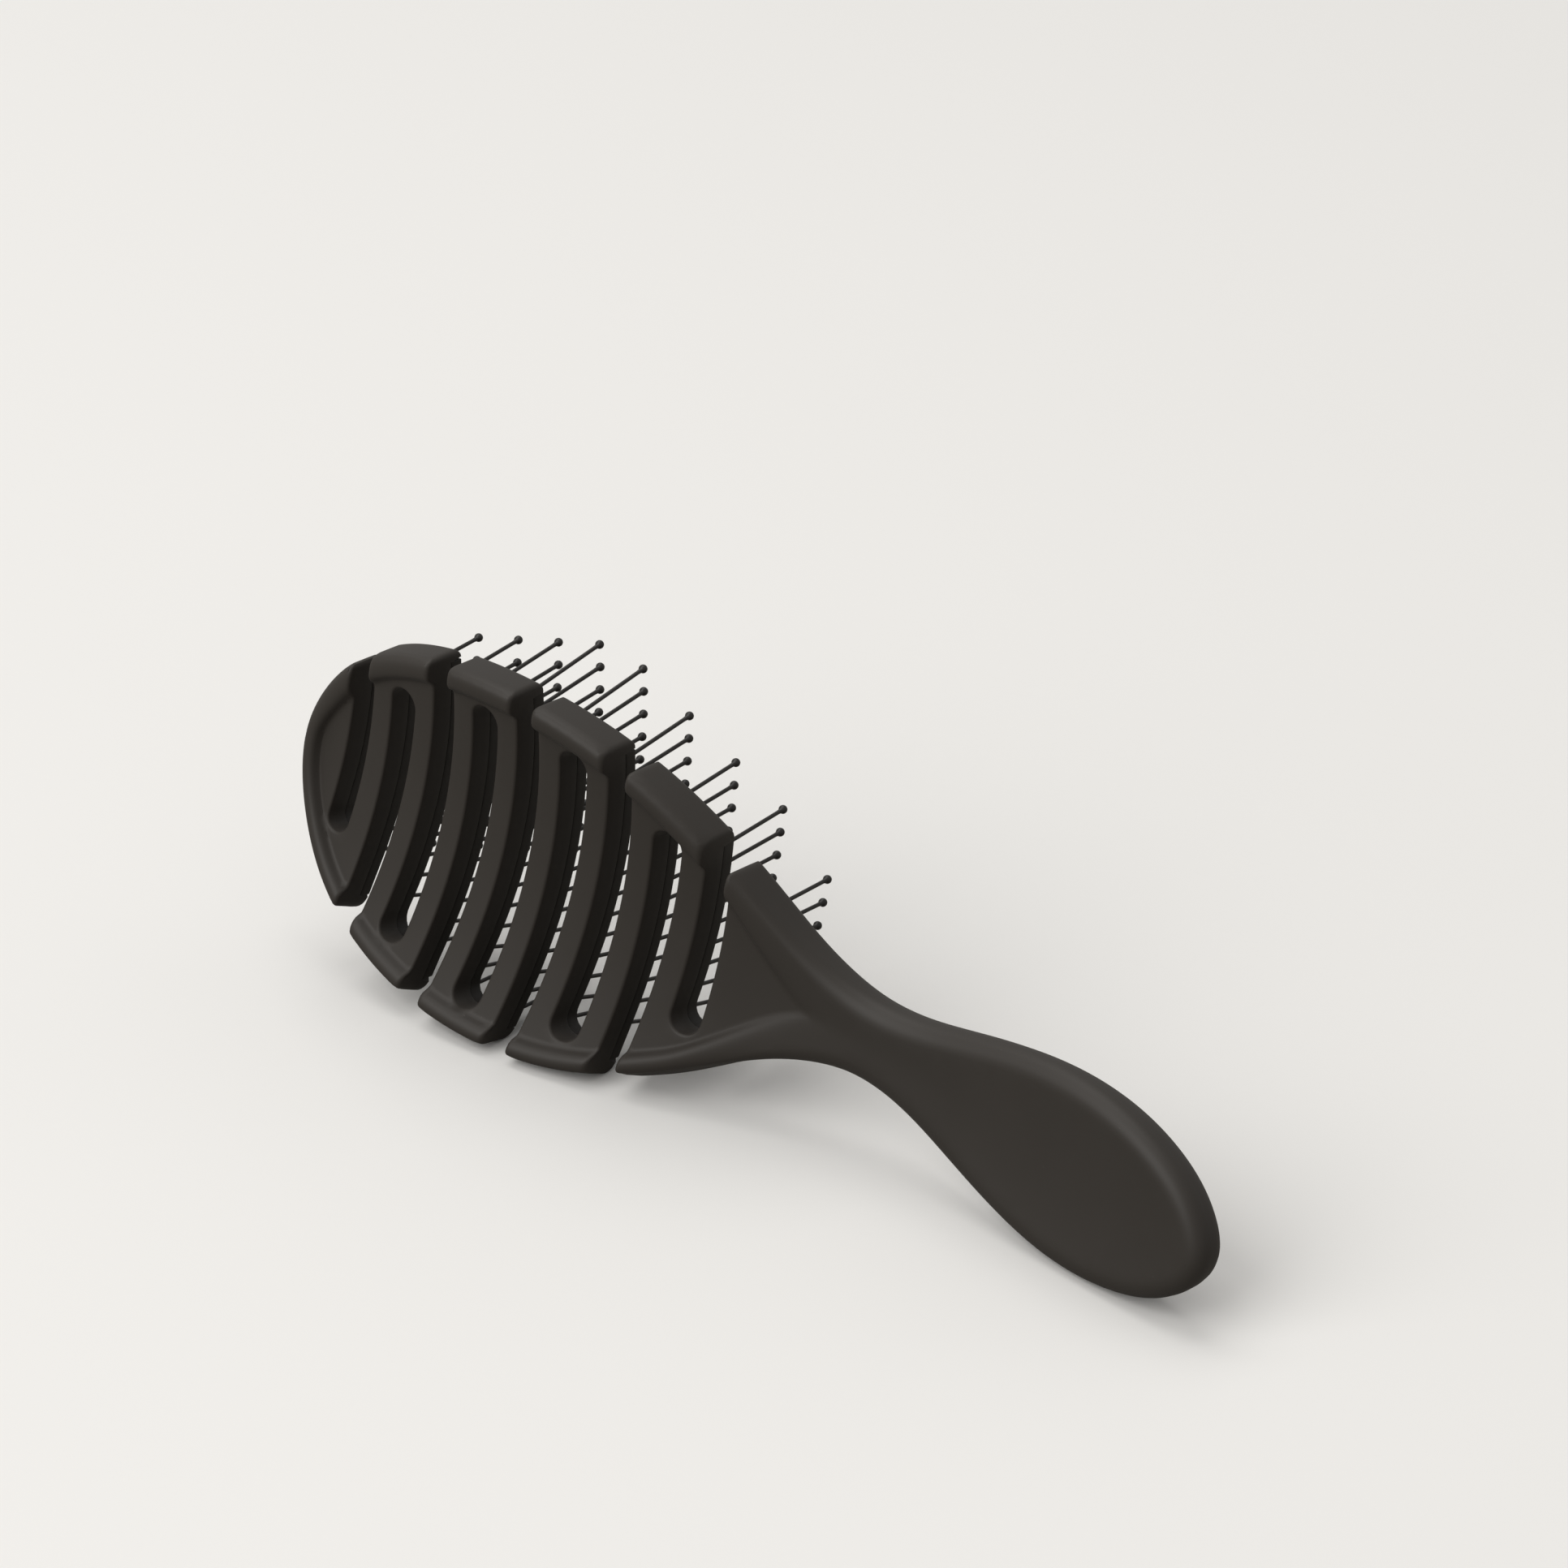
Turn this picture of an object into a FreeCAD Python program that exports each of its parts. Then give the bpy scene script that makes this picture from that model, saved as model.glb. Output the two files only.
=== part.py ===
import FreeCAD, Part
import math
import os

from FreeCAD import Placement, Rotation, Vector

# Vented hair grooming brush, lying on one long edge.
# Its own frame: X runs from the round tip to the handle's end, Y across the head, Z out of its back.
# The pins point along -Z. The placement at the end stands the brush on its edge as it comes to rest.

doc = FreeCAD.newDocument("hair_brush")
sheet = doc.addObject("Spreadsheet::Sheet", "sizes")

# Driving dimensions, in millimetres and degrees. Places along the brush are measured from its tip, from the
# throat, where the head ends and the handle begins, or from the handle's end.
SIZES = {
    "head_length": 122.5,
    "handle_length": 101.6,
    # Outline seen from the back: each named place and its half width.
    "brow_from_tip": 6.0,
    "brow_reach": 16.3,
    "front_from_tip": 14.5,
    "front_reach": 24.9,
    "shoulder_from_tip": 32.5,
    "shoulder_reach": 33.2,
    "widest_from_tip": 58.5,
    "widest_reach": 36.4,
    "flank_before_throat": 38.0,
    "flank_reach": 32.4,
    "waist_before_throat": 16.0,
    "waist_reach": 21.5,
    "throat_reach": 12.1,
    "neck_past_throat": 18.0,
    "neck_reach": 8.1,
    "swell_past_throat": 40.0,
    "swell_reach": 13.1,
    "palm_before_end": 38.3,
    "palm_reach": 18.0,
    "heel_before_end": 17.0,
    "heel_reach": 15.7,
    "butt_before_end": 4.0,
    "butt_reach": 8.2,
    # Side view: height of the back's field on the centre line, and where it has that height.
    "run_out": 15.0,
    "run_out_height": -2.3,
    "tip_height": -0.7,
    "crown_from_tip": 52.5,
    "crown_height": 3.2,
    "saddle_before_throat": 20.0,
    "saddle_height": -0.2,
    "dip_past_throat": 10.0,
    "dip_height": -3.95,
    "grip_past_throat": 45.0,
    "grip_height": -3.6,
    "palm_rise_before_end": 21.6,
    "palm_height": 1.0,
    "end_height": 5.4,
    "past_end_height": 8.8,
    "end_drop": 0.3,
    "back_hollow_radius": 107.3,
    # Shell section.
    "lip_height": 1.4,
    "lip_height_at_dip": 0.7,
    "lip_width": 4.3,
    "lip_rounding": 1.2,
    "rim_chamfer": 1.0,
    "skirt_depth": 7.7,
    "skirt_wall": 2.0,
    "rib_thickness": 5.9,
    "dip_depth": 8.7,
    "grip_depth": 8.0,
    "palm_depth": 9.7,
    "end_depth": 9.8,
    "grip_rounding": 3.9,
    "grip_before_throat": 6.5,
    "field_past_throat": 3.5,
    # Slits, counted from the tip. Each is widest at its closed end.
    "slit_count": 9,
    "first_slit_from_tip": 13.6,
    "slit_pitch": 11.1,
    "slit_width_at_mouth": 5.2,
    "slit_width_at_end": 6.4,
    "slit_bow_radius": 370.0,
    "far_end_margin": 6.3,
    "near_end_margin": 4.7,
    # Pin plate under the shell.
    "plate_thickness": 1.5,
    "plate_clearance": 0.2,
    "plate_setback": 0.25,
    "pocket_before_throat": 9.0,
    # Pins.
    "pin_free_length": 21.1,
    "pin_shaft_radius": 0.42,
    "pin_ball_radius": 0.95,
    "pin_sides": 5,
    "pin_pitch": 4.38,
    "pin_edge_margin": 3.2,
    "near_tip_reach": 31.05,
    # How the brush comes to rest on its edge.
    "lean_angle": 81.1,
    "tilt_angle": 7.65,
}
for row, (alias, value) in enumerate(SIZES.items(), 1):
    sheet.set(f"A{row}", alias)
    sheet.set(f"B{row}", str(value))
    sheet.setAlias(f"B{row}", alias)
doc.recompute()


def get(alias):
    return float(sheet.get(alias))


# Main places along the brush.
throat = get("head_length")
brush_end = throat + get("handle_length")
handle_start = throat - get("grip_before_throat")
neck = throat + get("neck_past_throat")
palm = brush_end - get("palm_before_end")
pocket_end = throat - get("pocket_before_throat")

# Most pins on each rib, from the first to the web behind the last slit.
PIN_COUNTS = (10, 12, 14, 16, 16, 14, 12, 10, 6)

# Cutting solids reach this far past what they cut.
REACH = 60.0


def spline_through(points, start, end):
    """One smooth curve through the points, with its direction set at both ends."""
    curve = Part.BSplineCurve()
    curve.interpolate(Points=points, InitialTangent=start, FinalTangent=end, Scale=False)
    return curve


def outline_curve(inset=0.0):
    """Half of the outline, from the tip to the handle's end, moved inwards by the inset."""
    places = (
        (0.0, 0.0),
        (get("brow_from_tip"), get("brow_reach")),
        (get("front_from_tip"), get("front_reach")),
        (get("shoulder_from_tip"), get("shoulder_reach")),
        (get("widest_from_tip"), get("widest_reach")),
        (throat - get("flank_before_throat"), get("flank_reach")),
        (throat - get("waist_before_throat"), get("waist_reach")),
        (throat, get("throat_reach")),
        (neck, get("neck_reach")),
        (throat + get("swell_past_throat"), get("swell_reach")),
        (palm, get("palm_reach")),
        (brush_end - get("heel_before_end"), get("heel_reach")),
        (brush_end - get("butt_before_end"), get("butt_reach")),
        (brush_end, 0.0),
    )
    points = [Vector(x, y, 0) for x, y in places]
    curve = spline_through(points, Vector(0, 1, 0), Vector(0, -1, 0))
    if inset == 0.0:
        return curve
    moved = []
    for point in points:
        along = curve.tangent(curve.parameter(point))[0]
        moved.append(point + Vector(along.y, -along.x, 0) * inset)
    return spline_through(moved, Vector(0, 1, 0), Vector(0, -1, 0))


outline = outline_curve()


def value_at_x(curve, x):
    """The point of a curve, which runs ever further from the tip, at a distance from the tip."""
    low, high = curve.FirstParameter, curve.LastParameter
    for _ in range(40):
        middle = (low + high) / 2
        if curve.value(middle).x < x:
            low = middle
        else:
            high = middle
    return curve.value(low)


def half_width(x):
    """Half width of the brush at a distance from the tip."""
    return value_at_x(outline, x).y


def plan_prism(inset=0.0):
    """The outline, mirrored and pulled up into a tall solid."""
    half = outline_curve(inset).toShape()
    other = half.mirror(Vector(0, 0, 0), Vector(0, 1, 0))
    face = Part.Face(Part.Wire(Part.__sortEdges__([half, other])))
    prism = face.extrude(Vector(0, 0, 2 * REACH))
    prism.translate(Vector(0, 0, -REACH))
    return prism


def side_stations():
    """Places along the side view: the field's height, the lip's above it and the shell's depth below it."""
    lip, skirt = get("lip_height"), get("skirt_depth")
    return (
        (-get("run_out"), get("run_out_height"), lip, skirt),
        (0.0, get("tip_height"), lip, skirt),
        (get("crown_from_tip"), get("crown_height"), lip, skirt),
        (throat - get("saddle_before_throat"), get("saddle_height"), lip, skirt),
        (throat + get("dip_past_throat"), get("dip_height"), get("lip_height_at_dip"), get("dip_depth")),
        (throat + get("grip_past_throat"), get("grip_height"), 0.0, get("grip_depth")),
        (brush_end - get("palm_rise_before_end"), get("palm_height"), 0.0, get("palm_depth")),
        (brush_end, get("end_height"), -get("end_drop"), get("end_depth")),
        (brush_end + get("run_out"), get("past_end_height"), -get("end_drop"), get("end_depth")),
    )


def side_curve(level):
    """The back's lengthwise curve on the centre line, level(lip, depth) above the field."""
    spine = Part.BSplineCurve()
    spine.interpolate(Points=[Vector(x, 0, z + level(lip, depth)) for x, z, lip, depth in side_stations()])
    return spine


def hollow_surface(level):
    """The lengthwise curve swept across along a shallow hollow."""
    spine = side_curve(level)
    rise = REACH * REACH / (2 * get("back_hollow_radius"))
    across = (Vector(0, -REACH, rise), Vector(0, 0, -rise), Vector(0, REACH, rise))
    surface = Part.BSplineSurface()
    poles = [[pole + step for step in across] for pole in spine.getPoles()]
    surface.buildFromPolesMultsKnots(
        poles, spine.getMultiplicities(), [3, 3], spine.getKnots(), [0.0, 1.0], False, False, spine.Degree, 2
    )
    return surface


def below(level):
    return hollow_surface(level).toShape().extrude(Vector(0, 0, -REACH))


def above(level):
    return hollow_surface(level).toShape().extrude(Vector(0, 0, REACH))


def crest(lip, depth):
    return lip


def field(lip, depth):
    return 0.0


def rib_underside(lip, depth):
    return -get("rib_thickness")


def plate_face(lip, depth):
    return -get("rib_thickness") - get("plate_thickness")


def rim(lip, depth):
    return -depth


def box(x0, x1):
    return Part.makeBox(x1 - x0, 2 * REACH, 2 * REACH, Vector(x0, -REACH, -REACH))


def edges_on(shape, level, skip_x):
    """The long edges of a blank that lie on one of its two curved faces, but not on its flat cut."""
    surface = hollow_surface(level)
    found = []
    for edge in shape.Edges:
        start, end = edge.Vertexes[0].Point, edge.Vertexes[-1].Point
        if abs(start.x - skip_x) < 0.01 and abs(end.x - skip_x) < 0.01:
            continue
        if abs(start.x - end.x) < 0.01 and abs(start.y - end.y) < 0.01:
            continue
        middle = edge.valueAt((edge.FirstParameter + edge.LastParameter) / 2)
        u, v = surface.parameter(middle)
        if middle.distanceToPoint(surface.value(u, v)) < 0.05:
            found.append(edge)
    return found


def head_blank():
    """The head's slab: outline and side view met, with both rims broken."""
    head = plan_prism().common(below(crest)).common(above(rim)).common(box(-REACH, handle_start))
    head = head.makeChamfer(get("lip_rounding"), edges_on(head, crest, handle_start))
    return head.makeChamfer(get("rim_chamfer"), edges_on(head, rim, handle_start))


crest_curve = side_curve(crest)
rim_curve = side_curve(rim)


def grip_section(x):
    """One closed section of the handle: hollow across its back, crowned below, round at both sides."""
    rounding, hollow = get("grip_rounding"), get("back_hollow_radius")
    to_end = brush_end - x
    drawn_in = rounding - math.sqrt(rounding**2 - max(0.0, rounding - to_end) ** 2)
    top = value_at_x(crest_curve, x).z - drawn_in
    low = value_at_x(rim_curve, x).z + drawn_in
    half = half_width(x)
    share = min(1.0, (x - handle_start) / (neck - handle_start))
    corner = get("lip_rounding") + (rounding - get("lip_rounding")) * share
    corner = min(corner, 0.9 * half, 0.47 * (top - low))
    bend = corner * (1 - math.sqrt(0.5))
    flat = half - corner
    side = ((flat, 0), (half - bend, bend), (half, corner))
    points = [(y, top - z) for y, z in side] + [(y, low + z) for y, z in reversed(side)] + [(0, low)]
    points += [(-y, low + z) for y, z in side] + [(-y, top - z) for y, z in reversed(side)] + [(0, top)]
    lifted = [Vector(x, y, z + y * y / (2 * hollow)) for y, z in points]
    return Part.makePolygon(lifted + lifted[:1])


def grip_loft():
    """The handle, lofted through sections that close in towards the rounded end."""
    stations = [handle_start + (neck - handle_start) * share for share in (0, 0.5)]
    stations += [neck + (palm - neck) * share for share in (0, 0.5)]
    stations += [palm + (brush_end - palm) * share for share in (0, 0.45, 0.8, 0.985)]
    return Part.makeLoft([grip_section(x) for x in stations], True, False)


def slit_solid(index, setback=0.0):
    """One curved slot: open past one long edge, round at its closed end, on every other side in turn."""
    bow = get("slit_bow_radius")
    x = get("first_slit_from_tip") + index * get("slit_pitch")
    side = -1 if index % 2 == 0 else 1
    margin = get("near_end_margin") if side < 0 else get("far_end_margin")
    end_half = get("slit_width_at_end") / 2
    mouth_half = get("slit_width_at_mouth") / 2
    edge = value_at_x(outline, x)
    along = outline.tangent(outline.parameter(edge))[0]
    mouth = -side * edge.y
    closed = side * (edge.y - (margin + end_half) / along.x)

    def middle_at(y):
        return Vector(x - bow + math.sqrt(bow**2 - y**2), y, 0)

    def wall_at(y, hand):
        share = (closed - y) / (closed - mouth)
        half = end_half + (mouth_half - end_half) * share + setback
        return middle_at(y) + Vector(hand * half, 0, 0)

    beyond = Vector(-closed / bow, 1, 0).normalize() * side
    cap = middle_at(closed) + beyond * (end_half + setback)
    levels = (-side * REACH, -side * REACH / 4, closed)
    right = [wall_at(y, 1) for y in levels]
    left = [wall_at(y, -1) for y in reversed(levels)]
    edges = [
        Part.Arc(*right).toShape(),
        Part.Arc(right[-1], cap, left[0]).toShape(),
        Part.Arc(*left).toShape(),
        Part.makeLine(left[-1], right[0]),
    ]
    solid = Part.Face(Part.Wire(edges)).extrude(Vector(0, 0, 2 * REACH))
    solid.translate(Vector(0, 0, -REACH))
    return solid


def feature(name, shape):
    made = doc.addObject("Part::Feature", name)
    made.Shape = shape
    return made


def all_slits(setback=0.0):
    return Part.makeCompound([slit_solid(i, setback) for i in range(int(get("slit_count")))])



# Shell: the handle and the head's back in one moulding, with the recessed field, the pocket for the plate
# under it and the slits.
blank = feature("shell_blank", head_blank().fuse(grip_loft()))
field_end = throat + get("field_past_throat")
recess = feature("back_recess", plan_prism(get("lip_width")).common(above(field)).common(box(-REACH, field_end)))
pocket = feature(
    "plate_pocket",
    plan_prism(get("skirt_wall")).common(below(rib_underside)).common(box(-REACH, pocket_end)),
)
hollows = doc.addObject("Part::MultiFuse", "shell_hollows")
hollows.Shapes = [recess, pocket, feature("slits", all_slits())]
shell = doc.addObject("Part::Cut", "shell")
shell.Base = blank
shell.Tool = hollows
shell.Label = "brush_shell"

# Plate: it lies in the pocket against the ribs' underside and carries the pins. Its slits are a little wider,
# which leaves a small step all along their walls.
plate_blank = feature(
    "plate_blank",
    plan_prism(get("skirt_wall") + get("plate_clearance"))
    .common(below(rib_underside))
    .common(above(plate_face))
    .common(box(-REACH, pocket_end - get("plate_clearance"))),
)
plate = doc.addObject("Part::Cut", "plate")
plate.Base = plate_blank
plate.Tool = feature("plate_slits", all_slits(get("plate_setback")))
plate.Label = "pin_plate"


def pin_ring(radius, height):
    """The corners of one level of a pin."""
    sides = int(get("pin_sides"))
    corners = []
    for i in range(sides):
        angle = math.pi / 2 + 2 * math.pi * i / sides
        corners.append(Vector(radius * math.cos(angle), radius * math.sin(angle), height))
    return corners


def pin_solid():
    """A faceted shaft that swells into a small ball, standing along -Z from its root at the origin."""
    length, shaft, ball = get("pin_free_length"), get("pin_shaft_radius"), get("pin_ball_radius")
    centre = length - ball
    crown = Vector(0, 0, -length)
    levels = (pin_ring(shaft, 0), pin_ring(shaft, ball - centre), pin_ring(ball, -centre))
    root = levels[0]
    faces = [Part.Face(Part.makePolygon(root + root[:1]))]
    for i in range(len(root)):
        j = (i + 1) % len(root)
        for upper, lower in zip(levels, levels[1:]):
            faces.append(Part.Face(Part.makePolygon([upper[i], upper[j], lower[j], lower[i], upper[i]])))
        widest = levels[-1]
        faces.append(Part.Face(Part.makePolygon([widest[i], widest[j], crown, widest[i]])))
    return Part.Solid(Part.makeShell(faces))


pin = pin_solid()
if pin.Volume < 0:
    pin.reverse()
plate_curve = side_curve(plate_face)


def pin_row(index):
    """The pins of one rib, square to the plate's crowned face and spread evenly across the rib."""
    x0 = get("first_slit_from_tip") + (index + 0.5) * get("slit_pitch")
    room = half_width(x0) - get("pin_edge_margin")
    count = min(PIN_COUNTS[index], 2 * int(room / get("pin_pitch") + 0.5))
    bow = get("slit_bow_radius")
    length = get("pin_free_length")
    pins = []
    for i in range(count):
        y = (i - (count - 1) / 2) * get("pin_pitch")
        x = x0 - y * y / (2 * bow)
        height = value_at_x(plate_curve, x).z + y * y / (2 * get("back_hollow_radius"))
        lean = math.atan(y / get("back_hollow_radius"))
        stop = (-get("near_tip_reach") - y) / length
        if math.sin(lean) < stop:
            lean = math.asin(stop)
        one = pin.copy()
        one.Placement = Placement(Vector(x, y, height), Rotation(Vector(1, 0, 0), math.degrees(lean)))
        pins.append(one)
    return Part.makeCompound(pins)


nodes = [shell, plate]
for i in range(len(PIN_COUNTS)):
    row = feature(f"pin_row_{i + 1:02d}", pin_row(i))
    nodes.append(row)

doc.recompute()
for item in doc.Objects:
    if "Invalid" in item.State or "Error" in item.State:
        raise RuntimeError(f"{item.Name} failed: {item.State}")
    if hasattr(item, "Shape") and (item.Shape.isNull() or not item.Shape.isValid()):
        raise RuntimeError(f"{item.Name} has no valid shape")

# The brush lies on its near edge: it leans about its own length, then tilts until head and handle both touch.
# The origin ends up on the floor, under the middle of the whole brush.
turn = Rotation(Vector(0, 1, 0), get("tilt_angle")) * Rotation(Vector(1, 0, 0), get("lean_angle"))
lying = Part.makeCompound([node.Shape for node in nodes])
lying.Placement = Placement(Vector(0, 0, 0), turn)
extent = lying.optimalBoundingBox(False, False)
to_origin = Vector(-extent.Center.x, -extent.Center.y, -extent.ZMin)
os.makedirs("parts", exist_ok=True)
for node in nodes:
    node.Placement = Placement(to_origin, turn)
    node.Shape.exportStep(f"parts/{node.Label}.step")
print("origin shift", to_origin)
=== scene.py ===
import math

import bpy
import numpy as np
from mathutils import Euler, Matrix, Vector, kdtree
from mathutils.geometry import delaunay_2d_cdt


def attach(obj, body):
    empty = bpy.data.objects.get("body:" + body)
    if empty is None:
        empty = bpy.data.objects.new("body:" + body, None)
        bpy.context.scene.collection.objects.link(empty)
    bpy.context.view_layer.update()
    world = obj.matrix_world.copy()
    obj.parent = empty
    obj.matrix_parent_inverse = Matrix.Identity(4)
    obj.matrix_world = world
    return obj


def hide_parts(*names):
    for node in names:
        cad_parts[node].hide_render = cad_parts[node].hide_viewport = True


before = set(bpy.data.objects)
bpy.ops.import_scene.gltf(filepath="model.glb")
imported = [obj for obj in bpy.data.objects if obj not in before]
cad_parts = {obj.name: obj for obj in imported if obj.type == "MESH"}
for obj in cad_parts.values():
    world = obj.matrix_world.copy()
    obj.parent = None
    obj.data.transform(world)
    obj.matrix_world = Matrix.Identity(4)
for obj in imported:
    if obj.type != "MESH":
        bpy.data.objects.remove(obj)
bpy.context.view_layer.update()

# Shell: handle and back of the head in one moulding, an ABS core under a thin matte soft-touch coat.
# Nine curved slits open in turn to the far and the near edge, so the head flexes like a folded strip.
# A rolled lip stands round the head and dies out into the neck.

BRUSH_LENGTH = 224.1
OUTLINE = (
    (0.0, 0.0),
    (6.0, 16.3),
    (14.5, 24.9),
    (32.5, 33.2),
    (58.5, 36.4),
    (84.5, 32.4),
    (106.5, 21.5),
    (122.5, 12.1),
    (140.5, 8.1),
    (162.5, 13.1),
    (185.8, 18.0),
    (207.1, 15.7),
    (220.1, 8.2),
    (BRUSH_LENGTH, 0.0),
)


def curve_through(points, start=None, end=None, steps=100):
    """A smooth curve through the points as a fine polyline, with its direction set at either end."""
    knots = np.array(points, float)
    count = len(knots)
    spans = np.linalg.norm(np.diff(knots, axis=0), axis=1)
    chords = np.diff(knots, axis=0) / spans[:, None]
    matrix = np.zeros((count, count))
    right = np.zeros_like(knots)
    for i in range(1, count - 1):
        before, after = spans[i - 1], spans[i]
        matrix[i, i - 1:i + 2] = after, 2 * (before + after), before
        right[i] = 3 * (after * chords[i - 1] + before * chords[i])
    matrix[0, :2] = (2, 1) if start is None else (1, 0)
    right[0] = 3 * chords[0] if start is None else start
    matrix[-1, -2:] = (1, 2) if end is None else (0, 1)
    right[-1] = 3 * chords[-1] if end is None else end
    slopes = np.linalg.solve(matrix, right)
    t = np.linspace(0, 1, steps, endpoint=False)[:, None]
    runs = []
    for i in range(count - 1):
        runs.append(
            (1 + 2 * t) * (1 - t) ** 2 * knots[i]
            + t * (1 - t) ** 2 * spans[i] * slopes[i]
            + t * t * (3 - 2 * t) * knots[i + 1]
            - t * t * (1 - t) * spans[i] * slopes[i + 1]
        )
    runs.append(knots[-1:])
    return np.concatenate(runs)


far_edge = curve_through(OUTLINE, (0, 1), (0, -1))

# Side view: distance from the tip, height of the field, lip above it and shell below it.
LIP_HEIGHT, SKIRT_DEPTH = 1.4, 8.5
DIP_DEPTH, GRIP_DEPTH, PALM_DEPTH, END_DEPTH = 8.7, 8.0, 9.7, 9.8
RUN_OUT = 15.0
SIDE = (
    (-RUN_OUT, -2.3, LIP_HEIGHT, SKIRT_DEPTH),
    (0.0, -0.7, LIP_HEIGHT, SKIRT_DEPTH),
    (52.5, 3.2, LIP_HEIGHT, SKIRT_DEPTH),
    (102.5, -0.2, LIP_HEIGHT, SKIRT_DEPTH),
    (132.5, -3.95, 0.7, DIP_DEPTH),
    (167.5, -3.6, 0.0, GRIP_DEPTH),
    (202.5, 1.0, 0.0, PALM_DEPTH),
    (BRUSH_LENGTH, 5.4, -0.3, END_DEPTH),
    (BRUSH_LENGTH + RUN_OUT, 8.8, -0.3, END_DEPTH),
)
BACK_HOLLOW_RADIUS = 107.3
field_line = curve_through([(x, z) for x, z, lip, depth in SIDE])
crest_line = curve_through([(x, z + lip) for x, z, lip, depth in SIDE])
rim_line = curve_through([(x, z - depth) for x, z, lip, depth in SIDE])


def height(line, p, offset=0.0):
    """Height of one of the side view's lines at points in plan, raised towards both long edges."""
    return np.interp(p[:, 0], line[:, 0], line[:, 1]) + p[:, 1] ** 2 / (2 * BACK_HOLLOW_RADIUS) + offset


def ease(value, low, high):
    """Runs smoothly from 0 at low to 1 at high."""
    t = np.clip((value - low) / (high - low), 0, 1)
    return t * t * (3 - 2 * t)


def across(line):
    """Unit vectors to the right of a line as it runs, for the far edge towards the brush's middle."""
    along = np.gradient(line, axis=0)
    along /= np.linalg.norm(along, axis=1)[:, None]
    return np.stack([along[:, 1], -along[:, 0]], 1)


def inset_line(line, inset):
    """The far edge moved towards the middle of the brush."""
    moved = line + inset * across(line)
    return moved[moved[:, 1] >= 0]


def half_width(x):
    return np.interp(x, far_edge[:, 0], far_edge[:, 1])


def tree_of(points):
    """Points in plan, ready to be asked for the one nearest to a place."""
    tree = kdtree.KDTree(len(points))
    for number, (x, y) in enumerate(points):
        tree.insert((x, y, 0), number)
    tree.balance()
    return tree


edge_tree = tree_of(far_edge)


def from_edge(p):
    """Distance of points in plan from the brush's outline, positive inside it."""
    out = np.empty(len(p))
    last = len(far_edge) - 1
    for i, (x, y) in enumerate(p):
        near = edge_tree.find((x, abs(y), 0))[1]
        a, b = far_edge[max(near - 1, 0)], far_edge[min(near + 1, last)]
        along = (b - a) / np.linalg.norm(b - a)
        away = np.array([x, abs(y)]) - far_edge[near]
        out[i] = away[0] * along[1] - away[1] * along[0]
    return out


# Slits: each is widest at its closed end, and those by the handle are straighter.
# A margin is what is left between the closed end and the edge.
SLITS_AT = (13.6, 24.7, 35.8, 46.9, 58.0, 69.1, 80.2, 91.45, 102.9)
MOUTH_WIDTH, END_WIDTH, FIRST_END_WIDTH = 5.2, 6.4, 5.5
MARGINS = (5.8, 7.75, 5.2, 6.75, 4.35, 6.0, 5.2, 5.8, 6.4)
BOW_RADIUS, BOW_GAIN, LAST_LIKE_BOW = 370.0, 60.0, 4
END_STEPS = 15


def slit_bow(index):
    """Radius of the bow of a slit."""
    return BOW_RADIUS + BOW_GAIN * max(0, index - LAST_LIKE_BOW)


class Slit:
    """One curved slot: open past one long edge of the head and round at its closed end."""

    def __init__(self, index, setback):
        self.opens = 1 if index % 2 == 0 else -1
        self.x, self.bow = SLITS_AT[index], slit_bow(index)
        here = np.searchsorted(far_edge[:, 0], self.x)
        step = far_edge[here] - far_edge[here - 1]
        width = END_WIDTH if index else FIRST_END_WIDTH
        edge_y = half_width(self.x)
        reach = MARGINS[index] + END_WIDTH / 2
        self.mouth = self.opens * edge_y
        self.closed = -self.opens * (edge_y - reach * np.linalg.norm(step) / step[0])
        self.end_half = width / 2 + setback
        self.mouth_half = MOUTH_WIDTH / 2 + setback
        self.cap_at = np.array([self.middle(self.closed), self.closed])

    def middle(self, y):
        return self.x - self.bow + np.sqrt(self.bow**2 - y**2)

    def half(self, y):
        share = np.clip((self.closed - y) / (self.closed - self.mouth), 0, None)
        return self.end_half + (self.mouth_half - self.end_half) * share

    def distance(self, p):
        """Distance of points in plan from the slot's edge, negative inside the slot."""
        off_wall = np.abs(p[:, 0] - self.middle(p[:, 1])) - self.half(p[:, 1])
        round_end = np.linalg.norm(p - self.cap_at, axis=1) - self.end_half
        beyond = (p[:, 1] - self.closed) * self.opens < 0
        return np.where(beyond, round_end, off_wall)

    def cut(self, edge, hand):
        """Where one wall, hand -1 or 1, crosses an outline given as a polyline."""
        gap = edge[:, 0] - self.middle(edge[:, 1]) - hand * self.half(edge[:, 1])
        right_way = edge[:, 1] * self.opens > 0
        crossings = np.nonzero((gap[:-1] * gap[1:] <= 0) & right_way[:-1] & right_way[1:])[0]
        i = crossings[0]
        return i + gap[i] / (gap[i] - gap[i + 1])

    def wall(self, first, last, spacing):
        """The slot's edge in plan, from one point on the outline round the closed end to the other."""
        hand = 1 if first[0] > self.middle(first[1]) else -1
        steps = max(2, int(abs(first[1] - self.closed) / spacing))
        inwards = np.linspace(first[1], self.closed, steps + 1)
        outwards = np.linspace(self.closed, last[1], steps + 1)
        turn = np.linspace(0, math.pi, END_STEPS)[1:-1, None]
        onwards = np.array([self.closed / self.bow, -1]) * self.opens
        sideways = np.array([hand, 0])
        return np.concatenate([
            np.stack([self.middle(inwards) + hand * self.half(inwards), inwards], 1),
            self.cap_at + self.end_half * (np.cos(turn) * sideways + np.sin(turn) * onwards),
            np.stack([self.middle(outwards) - hand * self.half(outwards), outwards], 1),
        ])


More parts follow.
